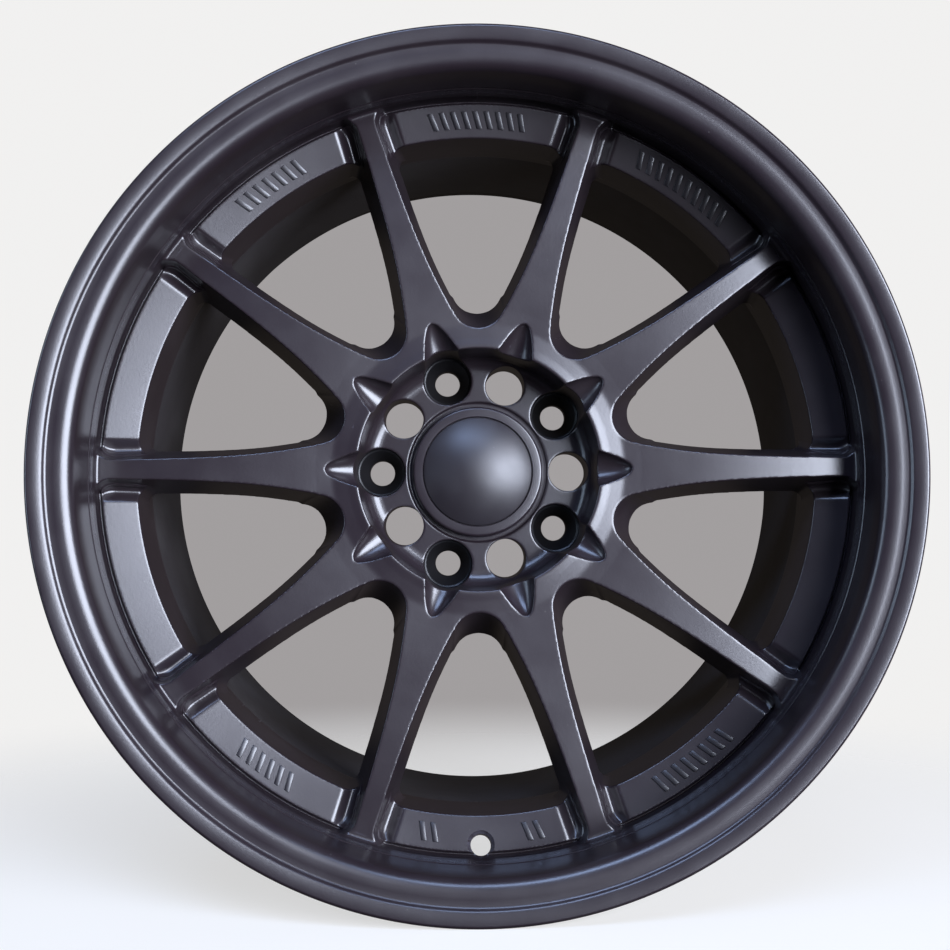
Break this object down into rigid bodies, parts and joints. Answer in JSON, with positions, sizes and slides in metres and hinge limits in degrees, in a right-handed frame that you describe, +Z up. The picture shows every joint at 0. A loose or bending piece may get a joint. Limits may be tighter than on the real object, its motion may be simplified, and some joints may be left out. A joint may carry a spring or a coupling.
{
  "type": "racing wheel rim",
  "caption": "Deep-lipped racing wheel rim with straight radial spokes, raised ledge pads, a dished lug plate and a domed snap-in centre cap.",
  "frame": {"origin": "centre of the hub's mounting face, on the wheel's axis", "axes": "+Y along the wheel's axis towards the car, street side towards -Y, +Z up; the valve hole is at the bottom"},
  "size_m": [0.4715, 0.2543, 0.4716],
  "materials": {
    "satin_black_paint": "satin black paint over forged aluminium",
    "barrel_paint": "satin black paint, slightly duller inside the barrel",
    "cap_plastic": "satin painted plastic",
    "spring_wire": "bright spring wire"
  },
  "bodies": {
    "wheel": {"front_flange": "satin_black_paint", "front_bead_seat": "satin_black_paint", "barrel": "barrel_paint", "rear_bead_seat": "barrel_paint", "rear_flange": "barrel_paint", "ledge_01": "satin_black_paint", "ledge_02": "satin_black_paint", "ledge_03": "satin_black_paint", "ledge_04": "satin_black_paint", "ledge_05": "satin_black_paint", "ledge_06": "satin_black_paint", "ledge_07": "satin_black_paint", "ledge_08": "satin_black_paint", "ledge_09": "satin_black_paint", "ledge_10": "satin_black_paint", "spoke_01": "satin_black_paint", "spoke_02": "satin_black_paint", "spoke_03": "satin_black_paint", "spoke_04": "satin_black_paint", "spoke_05": "satin_black_paint", "spoke_06": "satin_black_paint", "spoke_07": "satin_black_paint", "spoke_08": "satin_black_paint", "spoke_09": "satin_black_paint", "spoke_10": "satin_black_paint", "hub_01": "satin_black_paint", "hub_02": "satin_black_paint", "hub_03": "satin_black_paint", "hub_04": "satin_black_paint", "hub_05": "satin_black_paint", "hub_06": "satin_black_paint", "hub_07": "satin_black_paint", "hub_08": "satin_black_paint", "hub_09": "satin_black_paint", "hub_10": "satin_black_paint", "hub_plate": "satin_black_paint", "cap_boss": "satin_black_paint", "pad_marks": "satin_black_paint"},
    "cap": {"centre_cap": "cap_plastic", "cap_spring_ring": "spring_wire"}
  },
  "joints": [
    {"name": "cap_pull", "type": "slide", "parent": "wheel", "child": "cap", "axis": [0, -1, 0], "range_m": [0, 0.05]}
  ]
}
